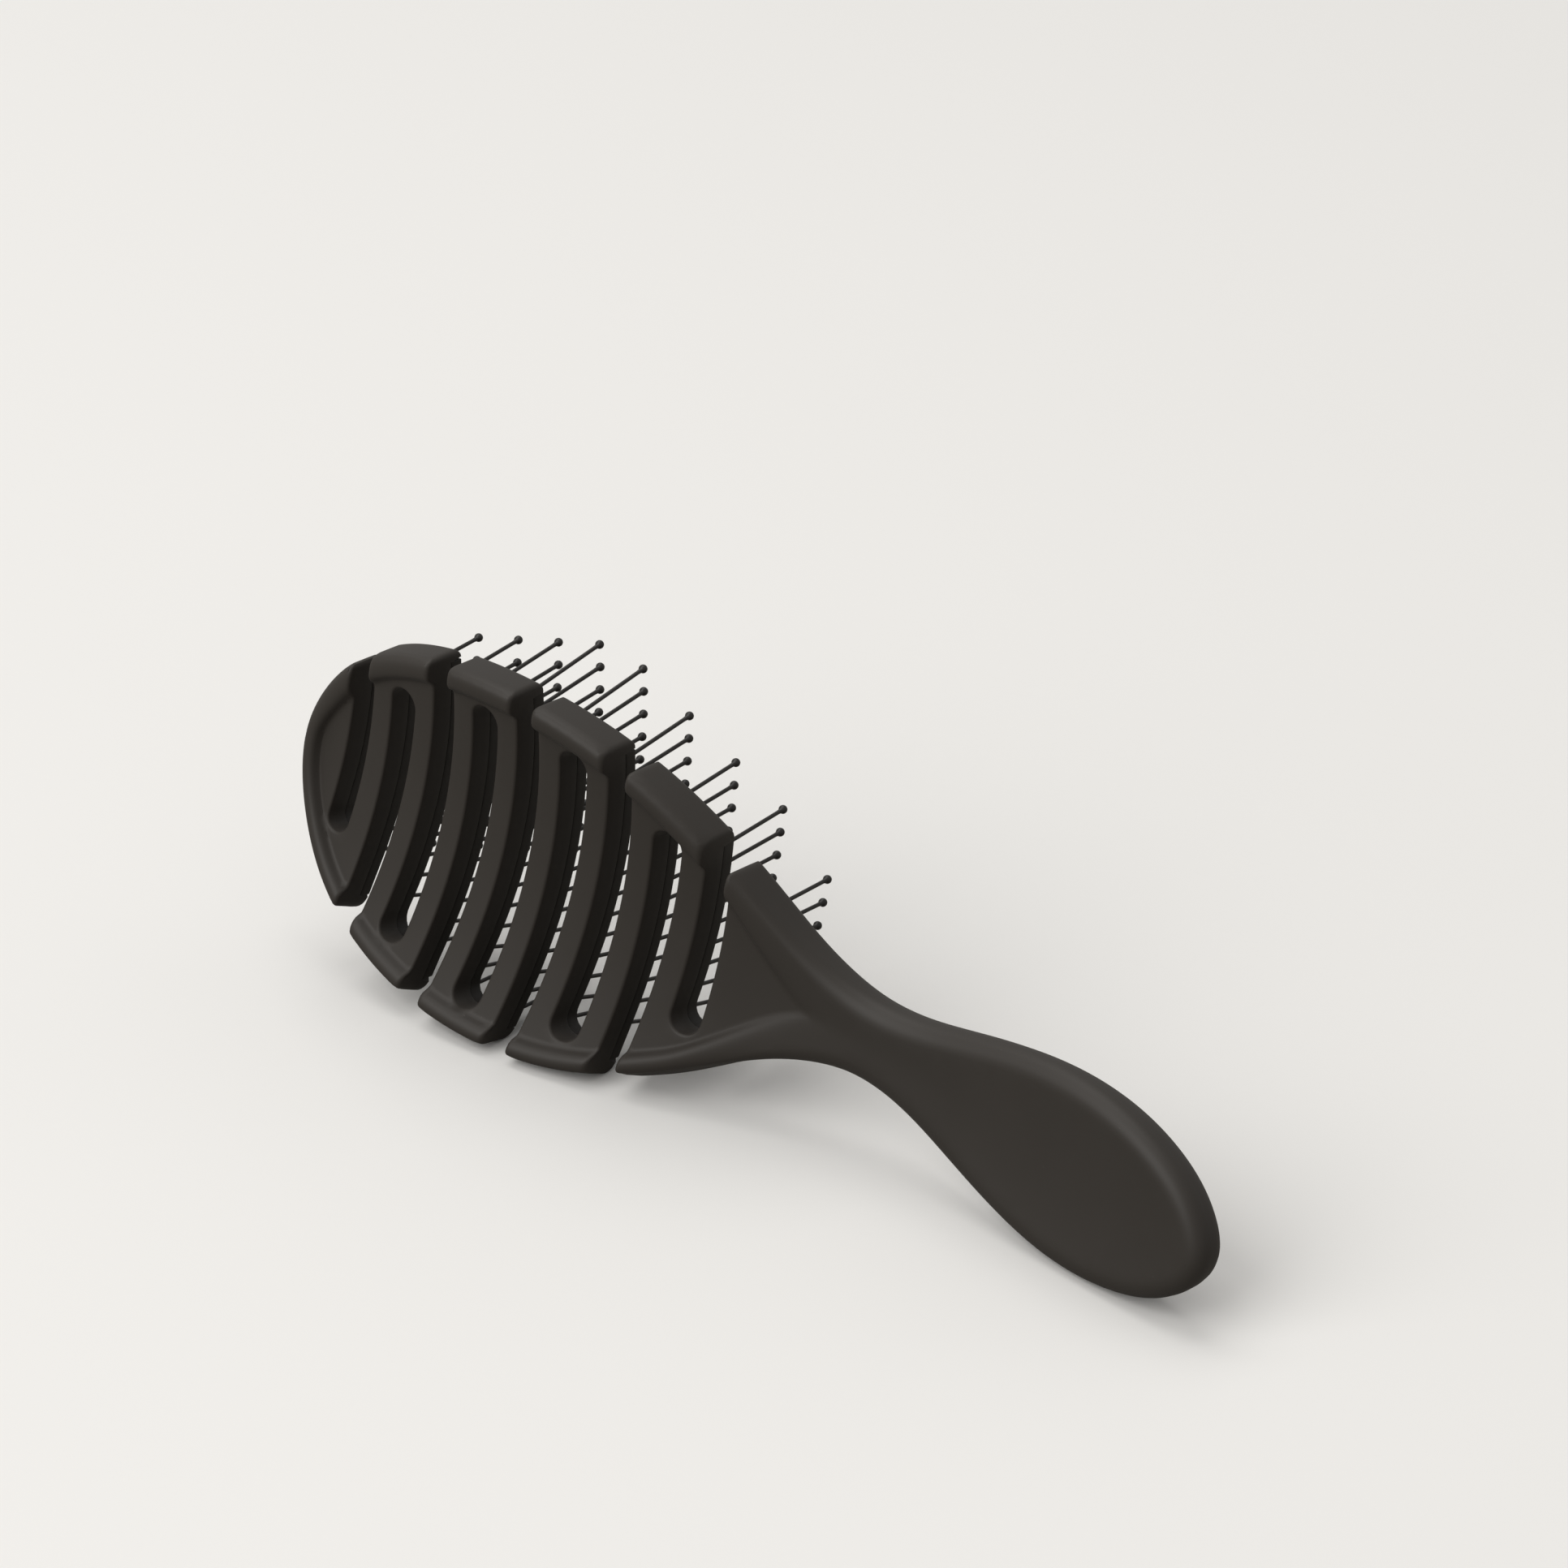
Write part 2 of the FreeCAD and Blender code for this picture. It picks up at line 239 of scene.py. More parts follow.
def point_at(line, index):
    """The point of a line at an index that may fall between two of its points."""
    i = int(index)
    return line[i] + (line[min(i + 1, len(line) - 1)] - line[i]) * (index - i)


def lengths_along(line):
    steps = np.linalg.norm(np.diff(line, axis=0), axis=1)
    return np.concatenate([[0], np.cumsum(steps)])


def evenly(line, spacing):
    """The same line with its points an even distance apart."""
    along = lengths_along(line)
    count = max(3, int(round(along[-1] / spacing)) + 1)
    at = np.linspace(0, along[-1], count)
    return np.stack([np.interp(at, along, line[:, k]) for k in range(line.shape[1])], 1)


SHORTEST_STEP = 0.05


def shortened(line, length):
    """The line without its last stretch of this length."""
    along = lengths_along(line)
    stop = along[-1] - length
    kept = line[along < stop - SHORTEST_STEP]
    end = [np.interp(stop, along, line[:, k]) for k in range(line.shape[1])]
    return np.concatenate([kept, [end]])


def outline_and_walls(edge, slits, spacing):
    """The stretches of outline between slits and the slits' walls in turn, each with True for outline."""
    notches = [(slit.cut(edge, -slit.opens), slit.cut(edge, slit.opens), slit) for slit in slits]
    notches.sort(key=lambda notch: notch[0])
    runs = []
    before = notches[-1][1]
    for start, stop, slit in notches:
        first, last = math.ceil(before), math.ceil(start)
        if before > start:
            indices = np.concatenate([np.arange(first, len(edge)), np.arange(0, last)])
        else:
            indices = np.arange(first, last)
        outline_run = np.concatenate([[point_at(edge, before)], edge[indices], [point_at(edge, start)]])
        wall_run = slit.wall(point_at(edge, start), point_at(edge, stop), spacing)
        runs += [(outline_run, True), (wall_run, False)]
        before = stop
    return runs


CORNER_PROBE, CORNER_REACH, CORNER_STEPS = 1.0, 3.2, 7


def slotted_loop(edge, slits, corner_radius, spacing):
    """The closed edge in plan of a slotted sheet, with a number for each of its points.

    The number is 0 on a slit's wall and goes up to 1 round a corner. Along the outline it is 1 and the
    distance from the nearer corner.
    """
    runs = outline_and_walls(edge, slits, spacing)
    trims = []
    for i, (run, is_edge) in enumerate(runs):
        following = runs[(i + 1) % len(runs)][0]
        back = run[-1] - shortened(run, CORNER_PROBE)[-1]
        ahead = evenly(following, CORNER_PROBE)[1] - following[0]
        cosine = -(back @ ahead) / np.linalg.norm(back) / np.linalg.norm(ahead)
        half_turn = math.acos(np.clip(cosine, -1, 1)) / 2
        trims.append(min(CORNER_REACH, corner_radius / math.tan(half_turn)))
    points, kinds = [], []
    t = np.linspace(0, 1, CORNER_STEPS)[1:-1, None]
    for i, (run, is_edge) in enumerate(runs):
        kept = shortened(shortened(run, trims[i])[::-1], trims[i - 1])[::-1]
        kept = evenly(kept, spacing)
        points.append(kept)
        along = np.minimum(np.arange(len(kept)), np.arange(len(kept))[::-1]) * spacing
        kinds.append(1 + along if is_edge else np.zeros(len(kept)))
        following = runs[(i + 1) % len(runs)][0]
        first, last = kept[-1], shortened(following[::-1], trims[i])[-1]
        points.append((1 - t) ** 2 * first + 2 * t * (1 - t) * run[-1] + t * t * last)
        kinds.append(1 - t[:, 0] if is_edge else t[:, 0])
    return np.concatenate(points), np.concatenate(kinds)


# How the brush lies: it leans on its near edge and its tip is up.
REST_LEAN, REST_TILT = math.radians(81.1), math.radians(7.65)
TIP_AT = Vector((-0.110807, -0.007343, 0.044242))
MM_IN_A_METRE = 1000
as_it_lies = Euler((0, REST_TILT, 0)).to_matrix() @ Euler((REST_LEAN, 0, 0)).to_matrix()


def laid(points):
    """Points of the brush's own frame, in millimetres, as it lies on its edge, in metres."""
    turned = np.asarray(points, float) @ np.array(as_it_lies).T / MM_IN_A_METRE
    return turned + np.array(TIP_AT)


# Stretches along the brush, from the tip, over which a form of the head fades into the next.
HEAD_FADES, LIP_SPREADS, GRIP_ROUNDS, SWAY_FADES = (100, 132), (100, 135), (104, 140), (20, 75)
# The lean of the outer walls is for each millimetre of depth, and the sway moves the tip end sideways.
NEAR_FLARE, FAR_FLARE, TIP_SWAY = 0.36, 0.06, 0.6
FLARE_DEPTH, FLARE_WIDTH, SIDES_MEET = 6.2, 8, 12
LOWEST_DEPTH, FLOOR_GAP, MOST_INWARD = 6.0, 0.05, -0.1


def on_head(x):
    return 1 - ease(x, *HEAD_FADES)


def flared(verts):
    """The head's outer walls lean outwards going down, on the near side as far as the floor allows.

    The tip end of the head is moved a little towards the near side.
    """
    p = verts[:, :2]
    deep = np.clip(height(field_line, p) - verts[:, 2], 0, FLARE_DEPTH)
    sway = TIP_SWAY * (1 - ease(p[:, 0], *SWAY_FADES))
    edge = np.stack([p[:, 0], -half_width(p[:, 0]) - sway], 1)
    lowest = np.column_stack([edge, height(field_line, edge, -LOWEST_DEPTH)])
    room = laid(lowest)[:, 2] * MM_IN_A_METRE - FLOOR_GAP
    near = np.clip(np.minimum(NEAR_FLARE, room / LOWEST_DEPTH), MOST_INWARD, None)
    share = np.clip(p[:, 1] / SIDES_MEET, -1, 1)
    slope = np.where(p[:, 1] < 0, share * near, share * FAR_FLARE)
    out = verts.copy()
    out[:, 1] += slope * deep * np.clip(1 - from_edge(p) / FLARE_WIDTH, 0, 1) ** 2 * on_head(p[:, 0])
    out[:, 1] -= sway
    return out


# The rings over a rounded rim, and the grid between rims with the room that its points keep.
RIM_ANGLES = (0, 18, 36, 54, 72, 90)
GRID_STEP, ROW_SHARE = 1.7, 0.87
GRID_OFF_WALL, GRID_OFF_OUTLINE, GRID_OFF_LINES = 0.9, 1.2, 0.7
LINE_OFF_RIM, GRID_OFF_RIM, OFF_SLIT = 0.42, 0.8, 0.2
INSIDE_ONLY, MERGE_WITHIN = 1, 1e-5


class SlottedSheet:
    """A thick slotted sheet: rounded rims along its closed edge and a smooth skin above and below."""

    def __init__(self, edge, setback, corner_radius, spacing):
        self.slits = [Slit(i, setback) for i in range(len(SLITS_AT))]
        self.loop, self.kind = slotted_loop(edge, self.slits, corner_radius, spacing)
        along = np.roll(self.loop, -1, axis=0) - np.roll(self.loop, 1, axis=0)
        along /= np.linalg.norm(along, axis=1)[:, None]
        self.inward = np.stack([along[:, 1], -along[:, 0]], 1)
        self.rings, self.faces = [], []

    def add_ring(self, p, z):
        first = sum(len(ring) for ring in self.rings)
        self.rings.append(np.column_stack([p, z]))
        return np.arange(first, first + len(p))

    def add_band(self, a, b):
        for i in range(len(a)):
            j = (i + 1) % len(a)
            self.faces.append((a[i], a[j], b[j], b[i]))

    def off_slits(self, p):
        return np.min([slit.distance(p) for slit in self.slits], axis=0)

    def grid(self):
        """An even grid of points in plan, clear of the slits and the outline."""
        low, high = self.loop.min(0), self.loop.max(0)
        points = []
        for row, y in enumerate(np.arange(low[1], high[1], GRID_STEP * ROW_SHARE)):
            for x in np.arange(low[0] + (row % 2) * GRID_STEP / 2, high[0], GRID_STEP):
                points.append((x, y))
        points = np.array(points)
        points = points[self.off_slits(points) > GRID_OFF_WALL]
        return points[from_edge(points) > GRID_OFF_OUTLINE]

    def inner_points(self, rim, lines):
        """The points of the lines and the grid that lie inside the rim with room to spare."""
        rim_tree, line_tree = tree_of(rim), tree_of(lines)

        def fits(point, room):
            number, gap = rim_tree.find((*point, 0))[1:]
            return gap >= room and (point - rim[number]) @ self.inward[number] >= 0

        chosen = [p for p in lines if fits(p, LINE_OFF_RIM)]
        for p in self.grid():
            off_lines = line_tree.find((*p, 0))[2] if len(lines) else GRID_OFF_LINES
            if off_lines >= GRID_OFF_LINES and fits(p, GRID_OFF_RIM):
                chosen.append(p)
        chosen = np.array(chosen)
        return chosen[self.off_slits(chosen) > OFF_SLIT]

    def fill(self, rim, rim_numbers, points, surface, up):
        """Triangles over the field inside the rim."""
        count = len(rim)
        every = [Vector(p) for p in np.concatenate([rim, points])]
        rim_edges = [(i, (i + 1) % count) for i in range(count)]
        out = delaunay_2d_cdt(every, rim_edges, [], INSIDE_ONLY, MERGE_WITHIN)
        new_verts, new_faces, originals = out[0], out[2], out[3]
        placed = np.array([[v.x, v.y] for v in new_verts])
        index = np.full(len(placed), -1)
        fresh = []
        for i, olds in enumerate(originals):
            on_rim = [k for k in olds if k < count]
            if on_rim:
                index[i] = rim_numbers[on_rim[0]]
            else:
                fresh.append(i)
        index[fresh] = self.add_ring(placed[fresh], surface(placed[fresh]))
        for face in new_faces:
            corners = [int(index[k]) for k in face]
            if len(set(corners)) < 3:
                continue
            a, b, c = (placed[k] for k in face[:3])
            area = (b[0] - a[0]) * (c[1] - a[1]) - (b[1] - a[1]) * (c[0] - a[0])
            if area * up < 0:
                corners.reverse()
            self.faces.append(tuple(corners))

    def skin(self, surface, rounding, lines, up):
        """Rings over the rounded rim, then the field. Gives the numbers of the outermost ring."""
        radius = rounding(self.loop, self.kind)
        radius = (np.roll(radius, 1) + radius + np.roll(radius, -1)) / 3
        numbers = []
        for angle in np.radians(RIM_ANGLES):
            p = self.loop + self.inward * (radius * (1 - math.cos(angle)))[:, None]
            drop = radius * (1 - math.sin(angle))
            numbers.append(self.add_ring(p, surface(p) - up * drop))
        for a, b in zip(numbers, numbers[1:]):
            if up > 0:
                self.add_band(b, a)
            else:
                self.add_band(a, b)
        rim = self.loop + self.inward * radius[:, None]
        self.fill(rim, numbers[-1], self.inner_points(rim, lines), surface, up)
        return numbers[0]

    def mesh(self, top, bottom, round_top, round_bottom, lines_above, lines_below):
        """Points and faces of the whole sheet: both skins and the walls between their outermost rings."""
        upper = self.skin(top, round_top, lines_above, 1)
        lower = self.skin(bottom, round_bottom, lines_below, -1)
        every = np.concatenate(self.rings)
        previous = upper
        for share in (1 / 3, 2 / 3):
            middle = self.add_ring(self.loop, every[upper, 2] * (1 - share) + every[lower, 2] * share)
            self.add_band(previous, middle)
            previous = middle
        self.add_band(previous, lower)
        return flared(np.concatenate(self.rings)), self.faces


def new_piece(name, verts, faces, body="root", smooth_angle=40):
    mesh = bpy.data.meshes.new(name)
    corners = [tuple(int(k) for k in face) for face in faces]
    mesh.from_pydata([tuple(v) for v in laid(verts)], [], corners)
    mesh.validate()
    mesh.shade_smooth()
    mesh.set_sharp_from_angle(angle=math.radians(smooth_angle))
    piece = bpy.data.objects.new(name, mesh)
    bpy.context.scene.collection.objects.link(piece)
    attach(piece, body)
    return piece


LIP_WIDTH, LIP_END, FAR_LIP_GAIN, NECK_LIP_GAIN = 4.4, 2.2, 0.28, 7
RIB_ROUNDING, LIP_END_ROUNDING, CORNER_RADIUS = 0.6, 1.1, 1.3
EDGE_ROUNDING, GRIP_ROUNDING, POCKET_ROUNDING = 0.4, 3.9, 0.2
SKIRT_WALL, RIB_THICKNESS, POCKET_END = 2.0, 5.4, 113.5
NEAR_CORNER, FAR_CORNER, CORNERS_MEET = 2.6, 1.6, 25
SHELL_SPACING = 0.7

# The lip in section: distance from the outline and height over the field, steep on its inner side.
lip_section = curve_through([
    (0.0, -0.5), (0.35, 0.75), (1.1, 1.65), (2.2, 2.05), (3.2, 1.9),
    (3.8, 1.25), (4.1, 0.55), (LIP_WIDTH, 0.1), (4.9, 0.0),
])


def lip_reach(p):
    """How far from the outline the lip's inner side ends, wider on the far side and into the neck."""
    on_far_side = ease(p[:, 1], 0, SIDES_MEET)
    return LIP_WIDTH * (1 + FAR_LIP_GAIN * on_far_side) + NECK_LIP_GAIN * ease(p[:, 0], *LIP_SPREADS)


def shell_top(p):
    inside, reach = from_edge(p), lip_reach(p)
    share = np.clip((inside - LIP_END) / (reach - LIP_END), 0, 1)
    rolled = np.interp(inside * LIP_WIDTH / reach, lip_section[:, 0], lip_section[:, 1]) / LIP_HEIGHT
    head = on_head(p[:, 0])
    rise = rolled * head + np.sqrt(1 - share**2) * (1 - head)
    return height(field_line, p) * (1 - rise) + height(crest_line, p) * rise


def underside(p):
    """The common underside of the shell's rim and the plate, round towards the outline."""
    side = np.clip(p[:, 1] / CORNERS_MEET, -1, 1)
    full = (NEAR_CORNER + FAR_CORNER) / 2 - (NEAR_CORNER - FAR_CORNER) / 2 * side
    short = np.clip(full - from_edge(p), 0, full)
    return height(rim_line, p) + on_head(p[:, 0]) * (full - np.sqrt(full**2 - short**2))


def shell_bottom(p):
    solid = (from_edge(p) < SKIRT_WALL) | (p[:, 0] > POCKET_END)
    return np.where(solid, underside(p), height(field_line, p, -RIB_THICKNESS))


def edge_rounding(x):
    return EDGE_ROUNDING + (GRIP_ROUNDING - EDGE_ROUNDING) * ease(x, *GRIP_ROUNDS)


def shell_top_rounding(p, kind):
    """Soft along the ribs, fuller where the lip ends at a slit and fullest round the handle."""
    on_lip = 1 - ease(from_edge(p), LIP_END, LIP_WIDTH)
    on_wall = RIB_ROUNDING + (LIP_END_ROUNDING - RIB_ROUNDING) * on_lip
    near_slit = np.clip(2 - kind, 0, 1)
    on_outline = np.minimum(edge_rounding(p[:, 0]), kind) * (1 - near_slit) + on_wall * near_slit
    return np.where(kind < 1, on_wall, on_outline)


def shell_bottom_rounding(p, kind):
    on_wall = POCKET_ROUNDING + (EDGE_ROUNDING - POCKET_ROUNDING) * kind
    return np.where(kind < 1, on_wall, np.minimum(edge_rounding(p[:, 0]), kind))


LIP_SHARES = (0.14, 0.2, 0.28, 0.38, 0.5, 0.62, 0.72, 0.8, 0.87, 0.93, 1.0, 1.08, 1.16)
LIP_LINES_END, LIP_SPACING = 136, 0.9
SKIRT_INSETS, SKIRT_SPACING, WALL_STEP, POCKET_CORNER = (0.6, 0.9, 1.3), 0.8, 0.03, 0.4


def lip_lines():
    """Rows of points along the lip's inner side, closer together where it bends."""
    rows = []
    line = evenly(far_edge, LIP_SPACING)
    for share in LIP_SHARES:
        for hand in (1, -1):
            inset = lip_reach(line * (1, hand)) * share
            row = line + inset[:, None] * across(line)
            rows.append(row[(line[:, 0] < LIP_LINES_END) & (row[:, 1] > 0)] * (1, hand))
    return np.concatenate(rows)


def skirt_lines():
    """Rows of points along the skirt and on both sides of its step and the pocket's end."""
    rows = []
    for inset in SKIRT_INSETS:
        line = evenly(inset_line(far_edge, inset), SKIRT_SPACING)
        rows.append(line[line[:, 0] < POCKET_END])
    line = evenly(inset_line(far_edge, SKIRT_WALL), SKIRT_SPACING)
    for step in (-WALL_STEP, WALL_STEP):
        row = line + step * across(line)
        rows.append(row[line[:, 0] < POCKET_END - POCKET_CORNER])
    for x in (POCKET_END - WALL_STEP, POCKET_END + WALL_STEP):
        ys = np.arange(0, half_width(POCKET_END) - SKIRT_WALL, SKIRT_SPACING)
        rows.append(np.stack([np.full(len(ys), x), ys], 1))
    rows = np.concatenate(rows)
    return np.concatenate([rows, rows * (1, -1)])


near_edge = far_edge[::-1] * (1, -1)
whole_edge = np.concatenate([far_edge, near_edge[1:-1]])
shell_sheet = SlottedSheet(whole_edge, 0.0, CORNER_RADIUS, SHELL_SPACING)
shell = new_piece("shell_moulding", *shell_sheet.mesh(
    shell_top, shell_bottom, shell_top_rounding, shell_bottom_rounding, lip_lines(), skirt_lines(),
))
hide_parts("brush_shell")


class Wire:
    """A shader socket that takes part in Python sums."""

    def __init__(self, tree, socket):
        self.tree = tree
        self.socket = socket

    def maths(self, operation, first, second):
        node = self.tree.nodes.new("ShaderNodeMath")
        node.operation = operation
        for socket, value in zip(node.inputs, (first, second)):
            if isinstance(value, Wire):
                self.tree.links.new(value.socket, socket)
            else:
                socket.default_value = value
        return Wire(self.tree, node.outputs[0])

    def __add__(self, other):
        return self.maths("ADD", self, other)

    def __radd__(self, other):
        return self.maths("ADD", other, self)

    def __mul__(self, other):
        return self.maths("MULTIPLY", self, other)

    def __rmul__(self, other):
        return self.maths("MULTIPLY", other, self)

    def __lt__(self, other):
        return self.maths("LESS_THAN", self, other)

    def __gt__(self, other):
        return self.maths("GREATER_THAN", self, other)


class Finish:
    """A material built one node at a time."""

    def __init__(self, name):
        self.material = bpy.data.materials.new(name)
        self.material.use_nodes = True
        self.tree = self.material.node_tree
        self.tree.nodes.clear()

    def node(self, kind, settings=None, sockets=None, output=0):
        """Adds a node: its settings first, then the values or links of its sockets."""
        node = self.tree.nodes.new(kind)
        for key, value in (settings or {}).items():
            setattr(node, key, value)
        for key, value in (sockets or {}).items():
            if isinstance(value, Wire):
                self.tree.links.new(value.socket, node.inputs[key])
            else:
                node.inputs[key].default_value = value
        return Wire(self.tree, node.outputs[output]) if node.outputs else None

    def place(self):
        """The piece's own coordinates, in metres."""
        return self.node("ShaderNodeTexCoord", output=3)

    def noise(self, scale, detail, roughness=0.5):
        sockets = {"Vector": self.place(), "Scale": scale, "Detail": detail, "Roughness": roughness}
        return self.node("ShaderNodeTexNoise", sockets=sockets)

    def blend(self, mask, first, second):
        """One colour over another where the mask is 1."""
        return self.node("ShaderNodeMix", {"data_type": "RGBA"}, {0: mask, 6: first, 7: second}, output=2)

    def bump(self, grain, strength, distance):
        sockets = {"Height": grain, "Strength": strength, "Distance": distance}
        return self.node("ShaderNodeBump", sockets=sockets)

    def coat(self, **sockets):
        named = {key.replace("_", " "): value for key, value in sockets.items()}
        return self.node("ShaderNodeBsdfPrincipled", sockets=named)

    def finished(self, shader):
        self.node("ShaderNodeOutputMaterial", sockets={"Surface": shader})
        return self.material


def soft_touch():
    """Matte charcoal soft-touch coat with a fine grain and a few specks of dust."""
    finish = Finish("soft_touch_charcoal")
    broad = finish.noise(scale=55, detail=3)
    grain = finish.noise(scale=5200, detail=2, roughness=0.6)
    sockets = {"Vector": finish.place(), "Scale": 260.0}
    cells = finish.node("ShaderNodeTexVoronoi", {"feature": "F1"}, sockets)
    speck_size, speck_strength, dust = 0.028, 0.25, (0.12, 0.11, 0.10, 1)
    specks = cells < speck_size
    clouded = finish.blend(broad, (0.0315, 0.0272, 0.0234, 1), (0.0375, 0.0325, 0.0282, 1))
    return finish.finished(finish.coat(
        Base_Color=finish.blend(specks * speck_strength, clouded, dust),
        Roughness=0.46 + 0.10 * broad,
        Normal=finish.bump(grain, strength=0.12, distance=0.00006),
        IOR=1.38,
        Sheen_Weight=0.03,
        Sheen_Roughness=0.4,
    ))


shell.data.materials.append(soft_touch())

# Pin plate: a second black moulding that fills the shell's pocket under the ribs and follows the same slits.
# It carries the pins and shows as a faint step low on the slit walls.

PLATE_CLEARANCE, PLATE_STEP, PLATE_ROUNDING, PLATE_CORNER = 0.06, 0.05, 0.15, 0.2
PLATE_SEAM, PLATE_SPACING, PLATE_END_POINTS = 0.02, 0.9, 30


def plate_top(p):
    return height(field_line, p, -RIB_THICKNESS - PLATE_SEAM)


def plate_rounding(p, kind):
    return np.full(len(p), PLATE_ROUNDING)


plate_far = inset_line(far_edge, SKIRT_WALL + PLATE_CLEARANCE)
plate_far = plate_far[plate_far[:, 0] < POCKET_END - PLATE_CLEARANCE]
end_x, end_y = plate_far[-1]
end_ys = np.linspace(end_y, -end_y, PLATE_END_POINTS + 2)[1:-1]
end_run = np.stack([np.full(PLATE_END_POINTS, end_x), end_ys], 1)
plate_edge = np.concatenate([plate_far, end_run, (plate_far * (1, -1))[::-1][:-1]])
plate_sheet = SlottedSheet(plate_edge, PLATE_STEP, PLATE_CORNER, PLATE_SPACING)
no_lines = np.zeros((0, 2))
plate = new_piece("plate_moulding", *plate_sheet.mesh(
    plate_top, underside, plate_rounding, plate_rounding, no_lines, no_lines,
))
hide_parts("pin_plate")


def moulded_black():
    """Satin black moulding plastic, a little mottled."""
    finish = Finish("moulded_black")
    mottle = finish.noise(scale=300, detail=3)
    grain = finish.noise(scale=3000, detail=2)
    return finish.finished(finish.coat(
        Base_Color=finish.blend(mottle, (0.010, 0.008, 0.006, 1), (0.014, 0.0115, 0.009, 1)),
        Roughness=0.42 + 0.1 * mottle,
        Normal=finish.bump(grain, strength=0.1, distance=0.00005),
        IOR=1.48,
    ))


plate.data.materials.append(moulded_black())

# Pins: slender black nylon pins with ball tips, one row on each rib and one on the web behind the last slit.
# They are set square to the crowned plate, so they fan out, and those beside the floor are bent a little.

PINS_ON_RIB = (10, 12, 14, 16, 16, 14, 12, 10, 6)
PIN_PITCH, PIN_LENGTH, PIN_SEAT, SLIT_TO_RIB = 4.38, 21.1, 7.4, 5.55
SHAFT_RADIUS, BALL_RADIUS = 0.40, 0.88
ROOT_FLARE = ((0.3, 0.0), (0.22, 1.2), (0.04, 1.7))
SHAFT_SHARES = (0.12, 0.3, 0.5, 0.7, 0.88)
NECK_GAIN, NECK_BELOW_CENTRE = 1.12, 0.96
BALL_ANGLES = (-50, -32, -14, 4, 22, 40, 58, 74)
NEAR_TIP_REACH = 31.05
AROUND = 20


def pin_profile():
    """Radius and distance from the root, from the root's fillet to the crown of the ball."""
    profile = [(SHAFT_RADIUS + wider, distance) for wider, distance in ROOT_FLARE]
    profile += [(SHAFT_RADIUS, share * PIN_LENGTH) for share in SHAFT_SHARES]
    centre = PIN_LENGTH - BALL_RADIUS
    profile.append((SHAFT_RADIUS * NECK_GAIN, centre - BALL_RADIUS * NECK_BELOW_CENTRE))
    for angle in np.radians(BALL_ANGLES):
        profile.append((BALL_RADIUS * math.cos(angle), centre + BALL_RADIUS * math.sin(angle)))
    return profile


def pin_row(index):
    """All the pins of one rib as one mesh."""
    count = PINS_ON_RIB[index]
    x0 = SLITS_AT[index] + SLIT_TO_RIB
    profile = pin_profile()
    verts, faces = [], []
    for i in range(count):
        y = (i - (count - 1) / 2) * PIN_PITCH
        base = np.array([[x0 - y * y / (2 * slit_bow(index)), y]])
        root = np.array([base[0, 0], y, height(field_line, base, -PIN_SEAT)[0]])
        lean = math.atan(y / BACK_HOLLOW_RADIUS)
        rest_sine = max(math.sin(lean), (-NEAR_TIP_REACH - y) / PIN_LENGTH)
        natural = np.array([0, math.sin(lean), -math.cos(lean)])
        bent = np.array([0, rest_sine, -math.sqrt(1 - rest_sine**2)])
        tip = root + PIN_LENGTH * bent
        knee = root + PIN_LENGTH / 4 * (natural + bent)
        first = len(verts)
        for radius, distance in profile:
            t = distance / PIN_LENGTH
            middle = (1 - t) ** 2 * root + 2 * t * (1 - t) * knee + t * t * tip
            along = (1 - t) * (knee - root) + t * (tip - knee)
            along /= np.linalg.norm(along)
            second = np.array([1.0, 0, 0])
            third = np.cross(along, second)
            for k in range(AROUND):
                turn = 2 * math.pi * k / AROUND
                verts.append(middle + radius * (math.cos(turn) * second + math.sin(turn) * third))
        for ring in range(len(profile) - 1):
            for k in range(AROUND):
                a = first + ring * AROUND + k
                b = first + ring * AROUND + (k + 1) % AROUND
                faces.append((a, a + AROUND, b + AROUND, b))
        verts.append(tip)
        crown = len(verts) - 1
        last = first + (len(profile) - 1) * AROUND
        for k in range(AROUND):
            faces.append((last + k, crown, last + (k + 1) % AROUND))
        faces.append(tuple(first + k for k in range(AROUND)))
    return np.array(verts), faces


def pin_nylon():
    """Smooth black nylon with a soft shine."""
    finish = Finish("pin_nylon")
    mottle = finish.noise(scale=900, detail=2)
    return finish.finished(finish.coat(
        Base_Color=finish.blend(mottle, (0.012, 0.0105, 0.0095, 1), (0.02, 0.018, 0.0165, 1)),
        Roughness=0.3 + 0.12 * mottle,
        IOR=1.5,
    ))


nylon = pin_nylon()
for index in range(len(PINS_ON_RIB)):
    verts, faces = pin_row(index)
    row = new_piece(f"pins_on_rib_{index + 1}", verts, faces, smooth_angle=60)
    row.data.materials.append(nylon)
    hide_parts(f"pin_row_{index + 1:02d}")

# Floor: one pale seamless sheet of paper under the brush. It is pale to the camera and dimmer as a
# reflector, so that little light comes back up into the slits.

FLOOR_SIZE = 8.0
corners = [(sx * FLOOR_SIZE / 2, sy * FLOOR_SIZE / 2, 0) for sx, sy in ((-1, -1), (1, -1), (1, 1), (-1, 1))]
floor_mesh = bpy.data.meshes.new("paper_floor")
floor_mesh.from_pydata(corners, [], [(0, 1, 2, 3)])
floor = bpy.data.objects.new("paper_floor", floor_mesh)
bpy.context.scene.collection.objects.link(floor)


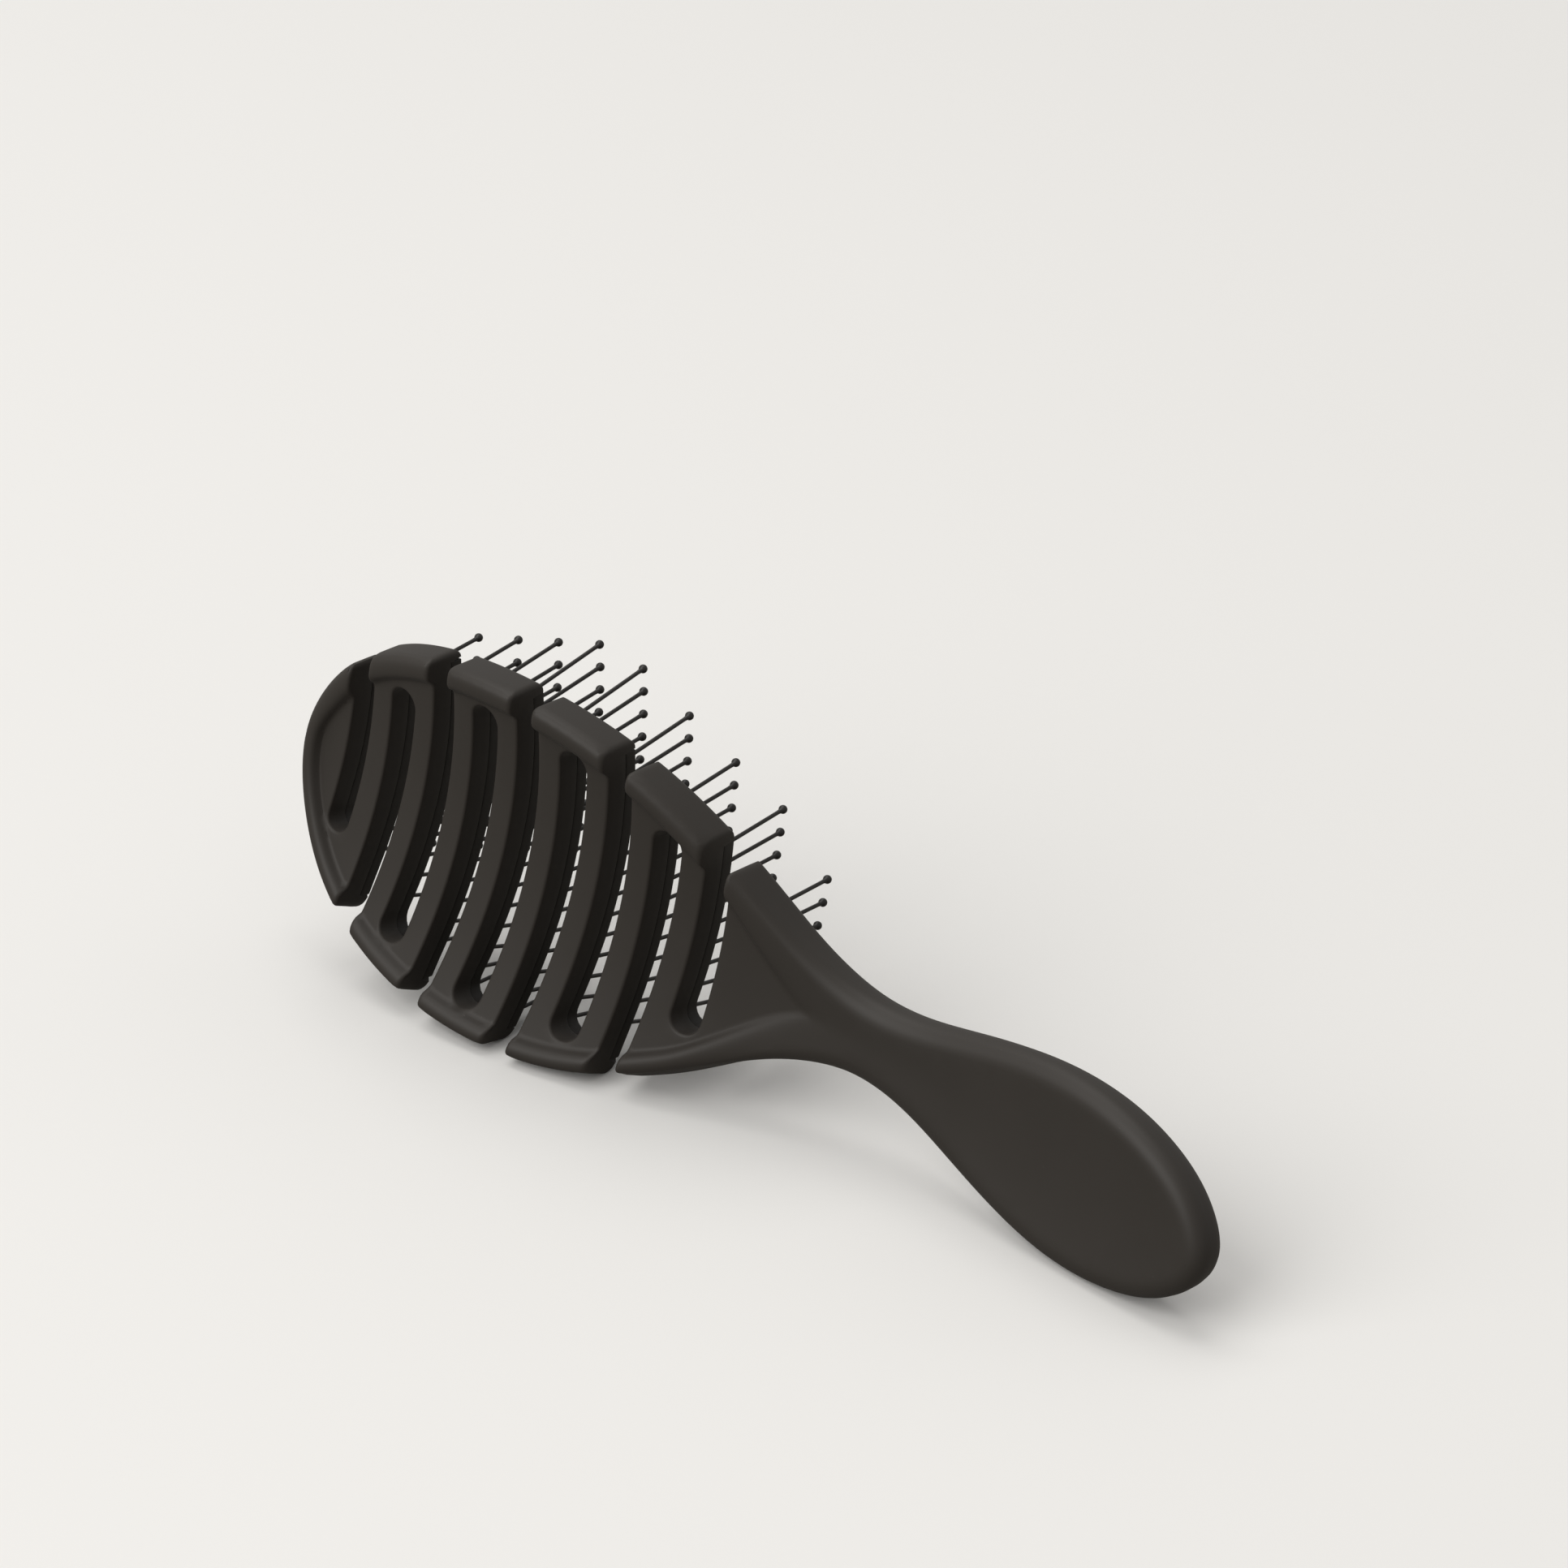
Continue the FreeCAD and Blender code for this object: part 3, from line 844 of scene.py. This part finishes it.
def floor_paper():
    """Pale paper to the camera's rays and a dimmer one to all others."""
    paper = Finish("paper")
    tone = paper.blend(paper.noise(scale=3, detail=2), (0.835, 0.826, 0.812, 1), (0.85, 0.841, 0.827, 1))
    seen = paper.coat(Base_Color=tone, Roughness=0.9)
    bounced = paper.coat(Base_Color=(0.25, 0.235, 0.21, 1), Roughness=0.9)
    camera_ray = paper.node("ShaderNodeLightPath")
    return paper.finished(paper.node("ShaderNodeMixShader", sockets={0: camera_ray, 1: bounced, 2: seen}))


floor_mesh.materials.append(floor_paper())

# Light: a plain pale room, one large soft lamp overhead and a stronger one in front and to the left.
# Both lamps are nearly white and a little warm.

world = bpy.data.worlds.new("studio")
bpy.context.scene.world = world
world.use_nodes = True
backdrop = world.node_tree.nodes["Background"]
backdrop.inputs["Color"].default_value = (1.0, 0.988, 0.965, 1)
backdrop.inputs["Strength"].default_value = 0.40


def soft_lamp(name, place, size, power):
    """A square lamp that faces the middle of the brush."""
    light = bpy.data.lights.new(name, "AREA")
    light.size = size
    light.energy = power
    light.color = (1.0, 0.99, 0.968)
    lamp = bpy.data.objects.new(name, light)
    lamp.location = place
    lamp.rotation_mode = "QUATERNION"
    lamp.rotation_quaternion = Vector(place).to_track_quat("Z", "Y")
    bpy.context.scene.collection.objects.link(lamp)


soft_lamp("top_lamp", (-1.0, 0.4, 3.0), size=2.4, power=36)
soft_lamp("front_lamp", (-0.7, -2.3, 2.0), size=2.8, power=64)

# Camera: the photograph's view, from the front right and above, with a long lens.
# It is turned a little about its own axis, as the photograph is.

CAMERA_AT = Vector((0.6107, -0.7618, 0.6082))
LOOKS_AT = Vector((-0.01564, 0.02502, 0.05312))
CAMERA_ROLL = math.radians(1.46)
camera_data = bpy.data.cameras.new("camera")
camera_data.sensor_width = 36.0
camera_data.lens = 137.535
camera = bpy.data.objects.new("camera", camera_data)
camera.location = CAMERA_AT
facing = (CAMERA_AT - LOOKS_AT).to_track_quat("Z", "Y")
camera.rotation_mode = "QUATERNION"
camera.rotation_quaternion = facing @ Euler((0, 0, CAMERA_ROLL)).to_quaternion()
bpy.context.scene.collection.objects.link(camera)
bpy.context.scene.camera = camera
bpy.context.scene.view_settings.view_transform = "Standard"
